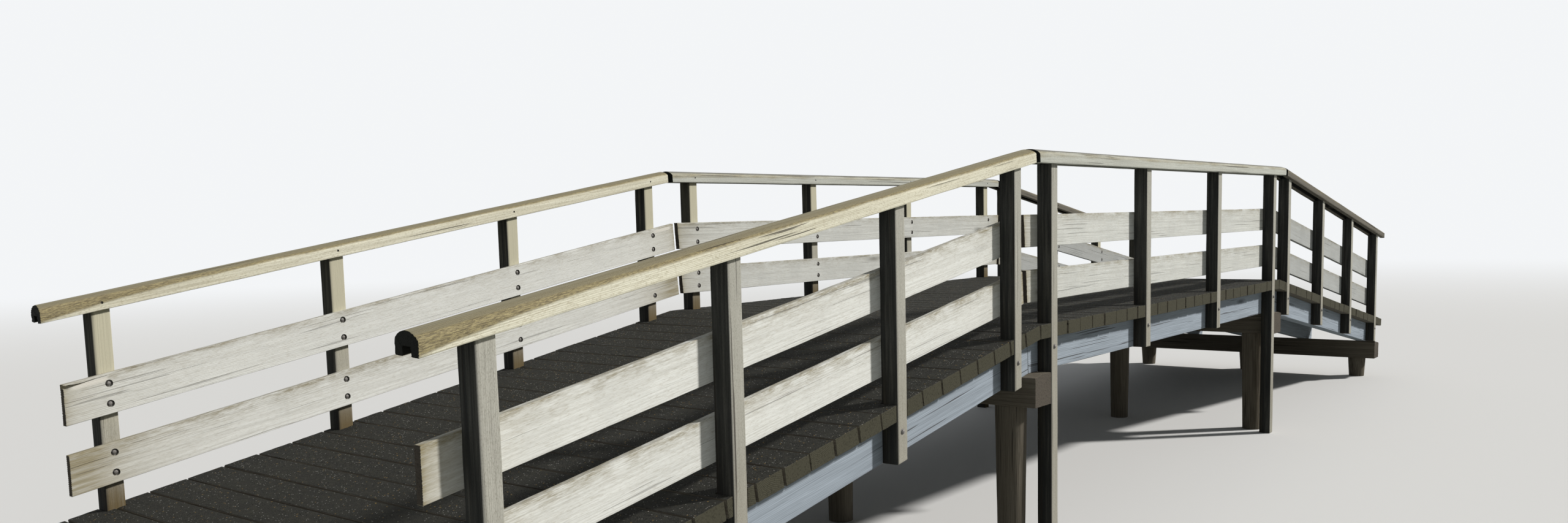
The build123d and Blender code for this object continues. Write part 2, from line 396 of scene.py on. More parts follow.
class Piece:
    """Solids that become one Blender object, with the attributes that its material reads."""

    def __init__(self, name):
        self.name, self.solids = name, []
        self.grain, self.tint, self.axis = [], [], []

    def add(self, solid, place, seed, tint=None):
        """Adds a solid at a place (origin, axes). Tint gives three masks from its s, u and v."""
        origin, axes = place
        random = np.random.default_rng(seed)
        pith = np.array((random.uniform(0, 40), random.choice((-1, 1)) * random.uniform(0.05, 0.14),
                         random.choice((-1, 1)) * random.uniform(0.03, 0.12)))
        self.grain.append(solid.verts + pith)
        zero = np.zeros(len(solid.verts))
        self.tint.append(np.stack(tint(*solid.verts.T) if tint else (zero, zero, zero), 1))
        self.axis.append(np.broadcast_to(axes[0], solid.verts.shape))
        self.solids.append(Solid(origin + solid.verts @ axes, solid.corners, solid.sizes).facing_out())
        return self

    def finish(self, material, slot=None, replaces=()):
        """Makes the object, which stands for the CAD nodes that it replaces."""
        mesh = to_mesh(self.name, merged(self.solids))
        for name, values in (("grain", self.grain), ("tint", self.tint), ("axis", self.axis)):
            layer = mesh.attributes.new(name, "FLOAT_VECTOR", "POINT")
            layer.data.foreach_set("vector", np.concatenate(values).astype(np.float32).ravel())
        mesh.polygons.foreach_set("use_smooth", np.ones(len(mesh.polygons), bool))
        mesh.set_sharp_from_angle(angle=SHARP_ANGLE)
        mesh.materials.append(material)
        piece = put(self.name, mesh)
        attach(piece, "root")
        if replaces:
            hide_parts(*replaces)


# ---- materials ----

class Nodes:
    """Adds nodes to one node tree. Every value is either a constant or another node's output."""

    def __init__(self, tree):
        self.tree = tree
        tree.nodes.clear()

    def node(self, kind, inputs=None, output=0, **settings):
        made = self.tree.nodes.new("ShaderNode" + kind)
        for key, value in settings.items():
            setattr(made, key, value)
        for key, value in (inputs or {}).items():
            if isinstance(value, bpy.types.NodeSocket):
                self.tree.links.new(value, made.inputs[key])
            else:
                made.inputs[key].default_value = value
        return made.outputs[output]

    def math(self, operation, a, b=0.0):
        return self.node("Math", {0: a, 1: b}, operation=operation)

    def times(self, a, b):
        return self.math("MULTIPLY", a, b)

    def plus(self, a, b):
        return self.math("ADD", a, b)

    def vector(self, operation, a, b=(0, 0, 0), output=0):
        return self.node("VectorMath", {0: a, 1: b}, output, operation=operation)

    def seen(self):
        """1 on the rays that show the background itself, 0 on those that only carry its light."""
        share = 0.0
        for ray in ("Is Camera Ray", "Is Glossy Ray", "Is Transmission Ray"):
            share = self.math("MAXIMUM", self.node("LightPath", output=ray), share)
        return share


class Shader(Nodes):
    """Builds one procedural material on a Principled shader."""

    def __init__(self, name, roughness=0.90, metallic=0.0, specular=0.08):
        self.material = bpy.data.materials.new(name)
        self.material.use_nodes = True
        super().__init__(self.material.node_tree)
        self.out = self.tree.nodes.new("ShaderNodeOutputMaterial")
        self.bsdf = self.node("BsdfPrincipled", {"Roughness": roughness, "Metallic": metallic,
                                                 "Specular IOR Level": specular}).node
        self.tree.links.new(self.bsdf.outputs[0], self.out.inputs[0])

    def attribute(self, name):
        return self.node("Attribute", attribute_name=name, output=1)

    def stretch(self, vector, along, across):
        return self.vector("MULTIPLY", vector, (along, across, across))

    def noise(self, vector, scale, detail=2, roughness=0.5, output=0):
        """Noise at one scale, or at a pair of scales along and across the grain."""
        if isinstance(scale, tuple):
            vector, scale = self.stretch(vector, *scale), 1.0
        inputs = {"Vector": vector, "Scale": scale, "Detail": detail, "Roughness": roughness}
        return self.node("TexNoise", inputs, output)

    def cells(self, vector, scale):
        """Distance to the nearest of many scattered points, and that point's random colour."""
        distance = self.node("TexVoronoi", {"Vector": vector, "Scale": scale})
        return distance, distance.node.outputs[1]

    def between(self, value, low, high, to_low=0.0, to_high=1.0):
        return self.node("MapRange", {0: value, 1: low, 2: high, 3: to_low, 4: to_high},
                         interpolation_type="SMOOTHSTEP")

    def mix(self, share, a, b):
        a, b = (x if isinstance(x, bpy.types.NodeSocket) else (*x, 1) for x in (a, b))
        return self.node("Mix", {0: share, 6: a, 7: b}, output=2, data_type="RGBA")

    def stain(self, colour, mask, share, tone):
        return self.mix(self.times(mask, share), colour, tone)

    def part(self, vector, axis):
        return self.node("SeparateXYZ", {0: vector}, output=axis)

    def set(self, name, value):
        self.tree.links.new(value, self.bsdf.inputs[name])

    def bump(self, height, distance, strength, under=None):
        inputs = {"Height": height, "Distance": distance, "Strength": strength}
        if under:
            inputs["Normal"] = under
        return self.node("Bump", inputs)

    def normal(self):
        """The bump that the shader has so far."""
        return self.bsdf.inputs["Normal"].links[0].from_socket


def wood_grain(sh, spacing, waviness, fineness):
    """Shared parts of every wood, 0 to 1 each; grain and bent are coordinates in the timber."""
    grain = sh.attribute("grain")
    flow = sh.noise(grain, (1.1, 6), output=1)
    flow = sh.vector("SUBTRACT", flow, (0.5, 0.5, 0.5))
    flow = sh.vector("MULTIPLY", flow, (0.0, waviness, waviness))
    bent = sh.vector("ADD", grain, flow)
    knot_far, knot_pick = sh.cells(sh.stretch(grain, 1.4, 6.5), 1.0)
    chosen = sh.between(sh.part(knot_pick, 0), 0.80, 0.81)
    knot = sh.times(sh.between(knot_far, 0.24, 0.0), chosen)
    aside = sh.times(knot, 0.016)
    bent = sh.vector("ADD", bent, sh.node("CombineXYZ", {1: aside, 2: aside}))
    rings = sh.node("TexWave", {"Vector": sh.stretch(bent, 0.05, 1), "Scale": 0.314 / spacing,
                                "Distortion": 3.5, "Detail": 3.0, "Detail Scale": 1.2,
                                "Detail Roughness": 0.6},
                    output=1, wave_type="RINGS", rings_direction="X")
    lens = sh.noise(bent, (0.9, 88), 2, 0.45)
    where = sh.noise(grain, (1.2, 9), 1)
    cracks = sh.plus(lens, sh.times(sh.math("SUBTRACT", where, 0.5), 0.30))
    facing = sh.vector("DOT_PRODUCT", sh.node("NewGeometry", output=1), sh.attribute("axis"), output=1)
    return {"grain": grain, "bent": bent, "knot": knot,
            "rings": sh.between(rings, 0.30, 1.0),
            "fibres": sh.noise(bent, (5, 400), 3, 0.65),
            "streaks": sh.noise(bent, (2.2, 135 * fineness), 3, 0.6),
            "broad": sh.noise(bent, (0.8, 24 * fineness), 3, 0.55),
            "blotches": sh.noise(grain, 5.0, 3, 0.55),
            "cracks": sh.between(cracks, 0.665, 0.715),
            "end": sh.between(sh.math("ABSOLUTE", facing), 0.60, 0.80)}


def weathered(name, pale, dark, *, spacing, ring_share, streak_share, broad_share=0.30, fibre_share=0.50,
              blotch_share=0.30, bump=0.0009, waviness=0.012, fineness=1.0):
    """A weathered wood between a pale and a dark tone. Returns the shader, its parts and its colour.
    Spacing is from ring to ring in metres; the shares say how strongly each part darkens."""
    sh = Shader(name)
    g = wood_grain(sh, spacing, waviness, fineness)
    colour = sh.mix(sh.between(g["broad"], 0.35, 0.70, 0.0, broad_share), pale, dark)
    colour = sh.mix(sh.between(g["streaks"], 0.36, 0.70, 0.0, streak_share), colour, dark)
    colour = sh.stain(colour, g["rings"], ring_share, dark)
    colour = sh.mix(sh.between(g["fibres"], 0.52, 0.74, 0.0, fibre_share), colour, dark)
    blotches = sh.between(g["blotches"], 0.40, 0.70, 0.0, blotch_share)
    colour = sh.mix(blotches, colour, [c * 0.78 for c in pale])
    colour = sh.stain(colour, g["knot"], 0.70, [c * 0.40 for c in dark])
    height = sh.times(g["rings"], -0.35)
    for part, depth in (("fibres", -0.6), ("streaks", -0.6), ("cracks", -1.5)):
        height = sh.plus(height, sh.times(g[part], depth))
    sh.set("Normal", sh.bump(height, bump, 0.9))
    return sh, g, colour


def cut_and_cracked(sh, g, colour, end=(0.115, 0.100, 0.082), crack_share=0.80,
                    ink=(0.045, 0.038, 0.032), end_rings=0.55):
    """Adds what is dark in every old wood: its long cracks, and end grain with rings and checks."""
    colour = sh.stain(colour, g["cracks"], crack_share, ink)
    checks = sh.noise(g["grain"], 95.0, 3, 0.7)
    cut = sh.stain(end, g["rings"], end_rings, [c * 0.50 for c in end])
    cut = sh.mix(sh.between(checks, 0.50, 0.68, 0.0, 0.65), cut, [c * 0.35 for c in end])
    return sh.mix(g["end"], colour, cut)


def board_material(stretch, pale, dark, blotch_share):
    """Bleached boards, browner where rain stands. Tint: upper edge, ends, bare wood at a split."""
    sh, g, colour = weathered(f"board_weathered_{stretch}", pale, dark, spacing=0.0060, ring_share=0.20,
                              streak_share=0.24, broad_share=0.10, fibre_share=0.36,
                              blotch_share=blotch_share, fineness=1.7)
    tint = sh.attribute("tint")
    flecks = sh.noise(g["bent"], (32, 300), 3, 0.7)
    colour = sh.mix(sh.between(flecks, 0.50, 0.66, 0.0, 0.38), colour, (0.440, 0.405, 0.330))
    streaky = sh.noise(g["bent"], (3.5, 95), 3, 0.6)
    patchy = sh.noise(g["grain"], (7, 30), 3, 0.6)
    edge = sh.times(sh.part(tint, 0), sh.between(patchy, 0.28, 0.66))
    edge = sh.times(edge, sh.between(flecks, 0.34, 0.60, 0.45, 1.0))
    colour = sh.stain(colour, edge, 0.85, (0.255, 0.215, 0.125))
    ends = sh.times(sh.part(tint, 1), sh.between(streaky, 0.25, 0.62, 0.50, 1.0))
    colour = sh.stain(colour, ends, 0.82, (0.270, 0.222, 0.112))
    colour = sh.stain(colour, sh.part(tint, 2), 0.75, (0.770, 0.730, 0.640))
    sh.set("Base Color", cut_and_cracked(sh, g, colour, crack_share=0.35))
    return sh.material


def post_material():
    """Grey posts with painted shade on one side. Tint: painted shade on the -X side, dirty foot darkened
    partly as painted shade, paler head.
    """
    sh, g, colour = weathered("post_weathered", (0.520, 0.510, 0.450), (0.285, 0.275, 0.230),
                              spacing=0.0045, ring_share=0.12, streak_share=0.30, broad_share=0.12,
                              bump=0.0008, waviness=0.006, fineness=1.9)
    tint = sh.attribute("tint")
    speckle = sh.noise(g["grain"], (130, 420), 3, 0.65)
    colour = sh.mix(sh.between(speckle, 0.48, 0.66, 0.0, 0.55), colour, (0.215, 0.205, 0.165))
    foot_and_shade_patches = sh.noise(g["grain"], (2, 60), 3, 0.6)
    colour = sh.stain(colour, sh.part(tint, 2), 0.80, (0.620, 0.585, 0.425))
    # brown dirt at the foot, its tone darkened in part as painted shade
    foot = sh.times(sh.part(tint, 1), sh.between(foot_and_shade_patches, 0.15, 0.50, 0.75, 1.0))
    colour = sh.stain(colour, foot, 0.92, (0.125, 0.088, 0.034))
    # painted shade: the -X side of each post is darkened near to black
    shade = sh.times(sh.part(tint, 0), sh.between(foot_and_shade_patches, 0.20, 0.60, 0.80, 1.0))
    colour = sh.stain(colour, shade, 0.96, (0.022, 0.024, 0.025))
    sh.set("Base Color", cut_and_cracked(sh, g, colour))
    return sh.material


def rail_material(stretch, pale, dark, top):
    """Dark band on top, scaly lichen on the slopes, pale mottled flanks, groove painted near-black as
    shade. Tint: crown, groove, lichen.
    """
    sh, g, colour = weathered(f"rail_weathered_{stretch}", pale, dark, spacing=0.0070, ring_share=0.20,
                              streak_share=0.34, broad_share=0.20, bump=0.0013, fineness=1.4)
    tint = sh.attribute("tint")
    mottle = sh.noise(g["grain"], (70, 160), 3, 0.65)
    colour = sh.mix(sh.between(mottle, 0.48, 0.68, 0.0, 0.42), colour, dark)
    scales = sh.noise(g["bent"], (40, 290), 5, 0.75)
    patch = sh.noise(g["grain"], (3.2, 16), 4, 0.6)
    patch = sh.math("SUBTRACT", patch, 0.5)
    growth = sh.between(sh.plus(sh.part(tint, 2), sh.times(patch, 0.9)), 0.10, 0.90)
    crust = sh.mix(sh.between(scales, 0.40, 0.60), (0.130, 0.100, 0.050), (0.405, 0.335, 0.165))
    colour = sh.stain(colour, growth, 0.90, crust)
    crown = sh.between(sh.plus(sh.part(tint, 0), sh.times(patch, 0.7)), 0.25, 0.65)
    colour = sh.stain(colour, crown, 0.90, top)
    # painted shade: the groove under the handrail is made near-black
    colour = sh.mix(sh.part(tint, 1), colour, (0.018, 0.018, 0.015))
    # end grain near-black: partly its own dark end grain, partly painted shade of the end faces
    sh.set("Base Color", cut_and_cracked(sh, g, colour, end=(0.022, 0.023, 0.020), end_rings=0.15))
    sh.set("Normal", sh.bump(sh.times(scales, growth), 0.0030, 0.70, sh.normal()))
    return sh.material


def deck_material():
    """A tarred and gritted tread over bare plank sides and ends."""
    sh, g, colour = weathered("deck_gritted", (0.215, 0.195, 0.160), (0.085, 0.076, 0.060),
                              spacing=0.0080, ring_share=0.40, streak_share=0.60, bump=0.0012)
    bare = cut_and_cracked(sh, g, colour, end=(0.078, 0.074, 0.052), crack_share=0.90,
                           ink=(0.020, 0.018, 0.015))
    grit = sh.noise(g["grain"], 260.0, 2, 0.7)
    coarse = sh.noise(g["grain"], 38.0, 4, 0.65)
    tar = sh.mix(sh.between(grit, 0.40, 0.66), (0.011, 0.011, 0.010), (0.062, 0.062, 0.054))
    tar = sh.mix(sh.between(coarse, 0.42, 0.66, 0.0, 0.55), tar, (0.050, 0.048, 0.038))
    for scale, low, tone in ((150.0, 0.955, (0.40, 0.39, 0.36)), (105.0, 0.980, (0.30, 0.20, 0.07))):
        size, pick = sh.cells(g["grain"], scale)
        stone = sh.between(sh.part(pick, 0), low, low + 0.004)
        stone = sh.times(stone, sh.between(size, 0.50, 0.30))
        tar = sh.stain(tar, stone, 0.85, tone)
    up = sh.part(sh.node("NewGeometry", output=1), 2)
    worn = sh.noise(g["grain"], 55.0, 4, 0.65)
    worn = sh.times(sh.math("SUBTRACT", worn, 0.5), 0.9)
    coat = sh.between(sh.plus(up, worn), 0.60, 0.80)
    sh.set("Base Color", sh.mix(coat, bare, tar))
    rough = sh.bump(sh.times(sh.plus(grit, coarse), coat), 0.0030, 0.9)
    sh.set("Normal", sh.node("Mix", {0: coat, 4: sh.normal(), 5: rough}, output=1, data_type="VECTOR"))
    return sh.material


def plain_material(name, pale, dark, **grain):
    sh, g, colour = weathered(name, pale, dark, **grain)
    sh.set("Base Color", cut_and_cracked(sh, g, colour))
    return sh.material


def steel_material():
    """Dull galvanised steel."""
    sh = Shader("steel_galvanised", roughness=0.62, metallic=0.35, specular=0.5)
    patches = sh.noise(sh.attribute("grain"), 180.0, 4, 0.6)
    spots = sh.between(patches, 0.35, 0.68)
    sh.set("Base Color", sh.mix(spots, (0.250, 0.240, 0.228), (0.120, 0.108, 0.094)))
    sh.set("Normal", sh.bump(patches, 0.0006, 0.6))
    return sh.material


BOARD = {"near": board_material("near", (0.860, 0.872, 0.830), (0.520, 0.505, 0.455), 0.30),
         "middle": board_material("middle", (0.760, 0.775, 0.735), (0.360, 0.355, 0.325), 0.60),
         "far": board_material("far", (0.520, 0.540, 0.530), (0.250, 0.250, 0.240), 0.60)}
RAIL = {"near": rail_material("near", (0.895, 0.872, 0.715), (0.370, 0.322, 0.205),
                              (0.292, 0.260, 0.172)),
        "middle": rail_material("middle", (0.650, 0.665, 0.600), (0.320, 0.315, 0.270),
                                (0.215, 0.210, 0.185)),
        # far: dark tones, painted shade of the far handrails
        "far": rail_material("far", (0.205, 0.190, 0.158), (0.100, 0.092, 0.075), (0.085, 0.080, 0.066))}
POST, DECK = post_material(), deck_material()
BEAM = plain_material("beam_weathered", (0.420, 0.480, 0.545), (0.185, 0.208, 0.235), spacing=0.0080,
                      ring_share=0.26, streak_share=0.45, fineness=1.3)
# dark brown-grey piles and caps, darker than the timbers above
PILE = plain_material("pile_dark", (0.205, 0.182, 0.145), (0.080, 0.068, 0.050), spacing=0.0070,
                      ring_share=0.35, streak_share=0.65, bump=0.0014)
STEEL = steel_material()


# ---- boards with their screws ----

HOLE_R, HOLE_D = 0.0185, 0.0125  # recess of a screw
SCREW_HEIGHTS = (0.05, 0.15)  # above a board's lower edge
SCREW = ((0, 0), (0.0165, 0), (0.0165, 0.0018), (0.0155, 0.0026), (0.0112, 0.0028), (0.0110, 0.0062),
         (0.0095, 0.0085), (0.0062, 0.0100), (0.0028, 0.0106), (0, 0.0107))     # radius, height
CRACKS = {  # side, height, from, to, depth, drift
    "lower_board_left_near": ((-1, 0.138, 0.0, 0.200, 0.011, 0.0025),
                              (-1, 0.166, 0.290, 0.385, 0.010, 0.0015)),
    "upper_board_left_near": ((-1, 0.108, 0.0, 0.170, 0.005, 0.0022),
                              (-1, 0.081, 0.150, 0.235, 0.004, 0.0015)),
}
SPLITS = {  # corners of the split as distance from the end and height
    "upper_board_left_near": (
        (-0.030, 0.1960), (0.006, 0.1970), (0.014, 0.1935), (0.030, 0.1942), (0.050, 0.1905),
        (0.087, 0.1885), (0.120, 0.1900), (0.145, 0.1915), (0.170, 0.1918), (0.200, 0.1925),
        (0.213, 0.1916), (0.195, 0.1903), (0.165, 0.1898), (0.145, 0.1888), (0.120, 0.1862),
        (0.087, 0.1832), (0.060, 0.1800), (0.035, 0.1775), (0.018, 0.1742), (0.008, 0.1795),
        (-0.030, 0.1870)),
}
SPLIT_DEPTH = 0.029
STAINED = {"lower_board_left_near": 1.6, "lower_board_right_near": 0.8, "upper_board_right_near": 0.7}


def lathe(profile, sides=24):
    """Solid of revolution about the u axis from (radius, u) points that start and end on the axis."""
    angles = 2 * np.pi * np.arange(sides) / sides
    verts = [(0.0, profile[0][1], 0.0)]
    for radius, u in profile[1:-1]:
        verts += [(radius * math.cos(a), u, radius * math.sin(a)) for a in angles]
    verts.append((0.0, profile[-1][1], 0.0))
    faces, last = [], len(verts) - 1
    for a in range(sides):
        b = (a + 1) % sides
        edges = [(ring + a, ring + b) for ring in range(1, last, sides)]
        faces.append((0, *edges[0][::-1]))
        faces += [(*edge, *above[::-1]) for edge, above in zip(edges, edges[1:])]
        faces.append((*edges[-1], last))
    return Solid(verts, np.concatenate(faces), [len(face) for face in faces]).facing_out()


def screw(side):
    """Washer and domed head that stand on the floor of a recess; side is the way they face."""
    return lathe([(radius, side * u) for radius, u in SCREW])


def moved(solid, s, u, v):
    return Solid(solid.verts + np.array((s, u, v)), solid.corners, solid.sizes)


def make_boards():
    seed = 100
    for stretch, (side_name, side), (tier, lift) in product(STRETCHES, SIDES, TIERS.items()):
        seed += 17
        node = f"{tier}_board_{side_name}_{stretch.name}"
        close_up = stretch is near
        cracks = CRACKS.get(node, ())
        first, last = stretch.ends(BEND_GAP, lift, overrun=BOARD_OVERRUN)
        section = Rounded(BOARD_T, BOARD_H, SAWN_WEAR, 0.0026 if close_up else 0.0080,
                          [crack[1] for crack in cracks])
        length = last[0] - first[0]
        shares = stations(length, 0.050 if close_up else 0.060, BOARD_RINGS)
        if cracks:
            more = np.arange(0.07, 0.40, 0.012) / length
            shares = np.unique(np.concatenate((shares, more)))
        shifted = [(face, h, a + (first[0] + first[1] * h if a > 0 else -1),
                    b + first[0] + first[1] * h, depth, drift)
                   for face, h, a, b, depth, drift in cracks]
        solid = timber(section, first, last, shares, seed, teeth=0.0048, inset=0.0012,
                       strips=True, cracks=shifted)
        place = stretch.frame(side * (HALF_CLEAR - BOARD_T / 2), lift)
        floor_u, outer = -side * (BOARD_T / 2 - HOLE_D), -side * (BOARD_T / 2 + 0.01)
        tools, heads = [], Piece(f"screws_{node}")
        for number in range(BAYS + 1):
            for v in SCREW_HEIGHTS:
                s = stretch.over_post(number, lift + v)
                tools.append(prism(circle(s, v, HOLE_R), floor_u, outer, 1))
                heads.add(moved(screw(-side), s, floor_u, v), place, seed + number)
        if node in SPLITS:
            outline = [(first[0] + first[1] * v + s, v) for s, v in SPLITS[node]]
            tools.append(prism(outline, side * (SPLIT_DEPTH - BOARD_T / 2), outer, 1))
        solid = carve(solid, tools)

        def tint(s, u, v):
            below = np.clip(BOARD_H - v, 0, BOARD_H)
            mossy = 0.95 if node in STAINED else 0.55
            top = 0.75 * np.exp(-below / 0.012) + mossy * np.exp(-below / 0.050)
            reach = np.minimum(s - first[0] - first[1] * v, last[0] + last[1] * v - s)
            reach = np.maximum(reach, 0)
            end = STAINED.get(node, 0.5) * np.exp(-reach / 0.22) + 0.5 * np.exp(-reach / 0.02)
            bare = unit((reach - 0.030) / 0.02) * unit((0.215 - reach) / 0.02)
            bare = bare * unit((v - 0.162) / 0.004) * unit((0.188 - v) / 0.003)
            bare = bare * (node in SPLITS)
            return unit(top) * (1 - bare), unit(end) * (1 - bare), bare

        board = Piece(f"weathered_{node}").add(solid, place, seed, tint)
        board.finish(BOARD[stretch.name], "board_wood", [node])
        heads.finish(STEEL)


# ---- handrails ----

LICHEN = {"near": (1.0, 0.052), "middle": (0.45, 0.034), "far": (0.35, 0.034)}  # share, lowest height
RAIL_BOW, RAIL_RELIEF, RAIL_SKEW = 0.0008, 0.0008, 0.108
RAIL_SCREW_R, RAIL_SCREW_V, RAIL_SCREW_DEPTH = 0.0065, 0.036, 0.010


def rail_half(step):
    """Half outline of the handrail from the groove's ceiling round to the crown."""
    spare = RAIL_BOW + 1.5 * RAIL_RELIEF
    w, g = RAIL_W / 2 - spare, GROOVE_W / 2
    radius = (w * w + RAIL_CROWN ** 2) / (2 * RAIL_CROWN)
    centre = RAIL_SIDE + RAIL_CROWN - spare - radius
    crown = []
    for n in range(1, 9):
        u = (w - 0.004) * (1 - n / 8)
        crown.append((u, centre + math.sqrt(radius * radius - u * u)))
    corners = [(0, GROOVE_D), (g - 0.002, GROOVE_D), (g, GROOVE_D - 0.002), (g, 0.003), (g + 0.003, 0),
               (w - 0.005, 0), (w - 0.0015, 0.0015), (w, 0.005), (w, RAIL_SIDE - spare - 0.006),
               (w - 0.0012, RAIL_SIDE - spare - 0.0015)] + crown
    return half_ring(corners, step)


def make_rails():
    seed = 700
    for stretch, (side_name, side) in product(STRETCHES, SIDES):
        section = Profile(rail_half(0.005 if stretch is near else 0.009))
        from_groove = np.hypot(section.nominal[:, 0], section.nominal[:, 1]) - 0.052
        section.worn = unit(from_groove / 0.02)
        seed += 19
        node = f"handrail_{side_name}_{stretch.name}"
        first, last = stretch.ends(BEND_GAP, RAIL_LIFT, overrun=RAIL_OVERRUN)
        shares = stations(last[0] - first[0], 0.036, RAIL_RINGS)
        solid = timber(section, first, last, shares, seed, relief=RAIL_RELIEF, bow=RAIL_BOW,
                       teeth=0.006, tooth_pitch=0.011, inset=0.0015,
                       skew=RAIL_SKEW if stretch is near else 0)
        place = stretch.frame(side * (HALF_CLEAR + POST_D / 2), RAIL_LIFT)
        tools, heads = [], Piece(f"screws_{node}")
        face = -side * RAIL_W / 2
        depth = face + side * RAIL_SCREW_DEPTH
        head = lathe([(0, 0), (0.0055, 0), (0.0052, -side * 0.0012), (0.002, -side * 0.0020),
                      (0, -side * 0.0021)], 14)
        for number in range(BAYS + 1):
            s = stretch.over_post(number, RAIL_LIFT + RAIL_SCREW_V)
            tools.append(prism(circle(s, RAIL_SCREW_V, RAIL_SCREW_R, 18), face * 1.1, depth, 1))
            heads.add(moved(head, s, depth, RAIL_SCREW_V), place, seed + number)
        solid = carve(solid, tools)

        def tint(s, u, v):
            growth, floor = LICHEN[stretch.name]
            reach = np.maximum(s - first[0] - first[1] * v, 0)
            crown = unit((v - 0.064) / 0.014)
            # the groove, which gets painted shade
            groove = (np.abs(u) < GROOVE_W / 2 + 0.001) & (v < GROOVE_D + 0.002) & (v > 0.002)
            lowest = floor - (floor + 0.006) * growth * np.exp(-reach / 0.42)
            slope = unit((v - lowest) / 0.018) * (1 - unit((v - 0.078) / 0.006))
            return crown, groove * 1.0, growth * slope * np.where(u < 0, 1.0, 0.6)

        rail = Piece(f"weathered_{node}").add(solid, place, seed, tint)
        rail.finish(RAIL[stretch.name], "handrail_wood", [node])
        heads.finish(STEEL)


# ---- posts ----

BOLT_HEIGHT = -0.150  # below the deck, on a post's outer face


def make_posts():
    seed = 1300
    section = Rounded(POST_D, POST_W, SAWN_WEAR, 0.012)
    for stretch, (side_name, side) in product(STRETCHES, SIDES):
        node = f"posts_{side_name}_{stretch.name}"
        posts, bolts = Piece(f"weathered_{node}"), Piece(f"bolts_{node}")
        y = side * (HALF_CLEAR + POST_D / 2)
        slope = stretch.s / stretch.c
        for number in range(BAYS + 1):
            seed += 13
            x = stretch.post_x(number)
            pile = stretch is middle and number in (0, BAYS)
            back = x - POST_W / 2
            foot = (0.0, 0.0) if pile else (stretch.level_at(back, BEAM_BOTTOM), slope)
            head = (stretch.level_at(back, RAIL_LIFT), slope)
            shares = stations(head[0] - foot[0], 0.060, UPRIGHT_RINGS)
            solid = timber(section, foot, head, shares, seed, relief=0.0006, bow=0.0012)
            deck = stretch.level_at(x, 0)

            def tint(s, u, v):
                inner = np.clip(0.5 - u * side / 0.06, 0.25, 1.0)
                foot_dirt_and_shade = np.exp(-np.maximum(s - deck - 0.05, 0) / 0.18) * inner
                # the -X face, which gets painted shade
                painted_shade_side = unit(1 - v / 0.012)
                # paler towards the head, on the left posts only
                paler_head = (side > 0) * unit((s - deck - 0.30) / 0.45)
                return painted_shade_side, foot_dirt_and_shade, paler_head

            place = (np.array((back, y, 0.0)), PLUMB)
            posts.add(solid, place, seed, tint)
            bolt = moved(screw(side), stretch.level_at(x, BOLT_HEIGHT), side * (POST_D / 2 - 0.001),
                         POST_W / 2)
            bolts.add(bolt, place, seed)
        posts.finish(POST, "post_wood", [node])
        bolts.finish(STEEL)


# ---- deck ----

def make_deck():
    """Planks that differ a little in width, length and height, notched round the posts."""
    seed = 2100
    half = HALF_CLEAR + PLANK_OUT
    for stretch in STRETCHES:
        node = f"deck_{stretch.name}"
        deck = Piece(f"gritted_{node}")
        axes = np.array(((0, 1, 0), (stretch.c, 0, stretch.s), (-stretch.s, 0, stretch.c)))
        across, lean = POST_W / 2 + NOTCH, stretch.s / stretch.c
        for number in range(round(stretch.length / stretch.pitch)):
            seed += 11
            random = np.random.default_rng(seed)
            width = stretch.pitch - PLANK_GAP
            trim = random.uniform(0.0026, 0.0050)
            section = Rounded(width - trim, PLANK_T, PLANK_WEAR, 0.030)
            low, high = -half + random.uniform(0, 0.007), half - random.uniform(0, 0.007)
            shares = stations(high - low, 0.100, END_RINGS)
            solid = timber(section, (low, 0), (high, 0), shares, seed, relief=0.0008, bow=0.0008,
                           teeth=0.003, tooth_pitch=0.014, inset=0.0025)
            solid.verts[:, 2] -= PLANK_T
            drop = random.uniform(0, 0.0018)
            middle_s = (number + 0.5) * stretch.pitch
            tools = []
            for post in stretch.posts:
                centre = post - middle_s
                if abs(centre) > width / 2 + POST_W / 2 + 0.02:
                    continue
                outline = [(centre + sign * across / stretch.c + h * lean, h)
                           for sign, h in ((-1, -0.12), (1, -0.12), (1, 0.02), (-1, 0.02))]
                for side in (1, -1):
                    tools.append(prism(outline, side * (HALF_CLEAR - NOTCH), side * (half + 0.05), 0))
            if tools:
                solid = carve(solid, tools)
            origin = np.array((stretch.x + middle_s * stretch.c + drop * stretch.s, 0.0,
                               stretch.z + middle_s * stretch.s - drop * stretch.c))
            deck.add(solid, (origin, axes), seed)
        deck.finish(DECK, "deck_wood", [node])


# ---- beams, caps and piles ----

def make_beams():
    seed = 4100
    outer = Rounded(EDGE_BEAM_W, BEAM_H, BEAM_WEAR, 0.022)
    inner = Rounded(INNER_BEAM_W, BEAM_H, BEAM_WEAR, 0.030)
    span = 2 * HALF_CLEAR - EDGE_BEAM_W
    between = [-span / 4, 0, span / 4]
    for stretch in STRETCHES:
        first, last = stretch.ends(BEAM_GAP, BEAM_BOTTOM, margin=BEAM_SETBACK)
        rows = [(f"edge_beam_{name}", outer, 0.070, [side * (HALF_CLEAR - EDGE_BEAM_W / 2)])
                for name, side in SIDES]
        for name, section, step, places in rows + [("inner_beams", inner, 0.160, between)]:
            node = f"{name}_{stretch.name}"
            beams = Piece(f"weathered_{node}")
            shares = stations(last[0] - first[0], step, END_RINGS)
            for y in places:
                seed += 7
                solid = timber(section, first, last, shares, seed, bow=BEAM_BOW)
                beams.add(solid, stretch.frame(y, BEAM_BOTTOM), seed)
            beams.finish(BEAM, "beam_wood", [node])


def beam_underside(x):
    return min(stretch.level_at(x, BEAM_BOTTOM) for stretch in STRETCHES)


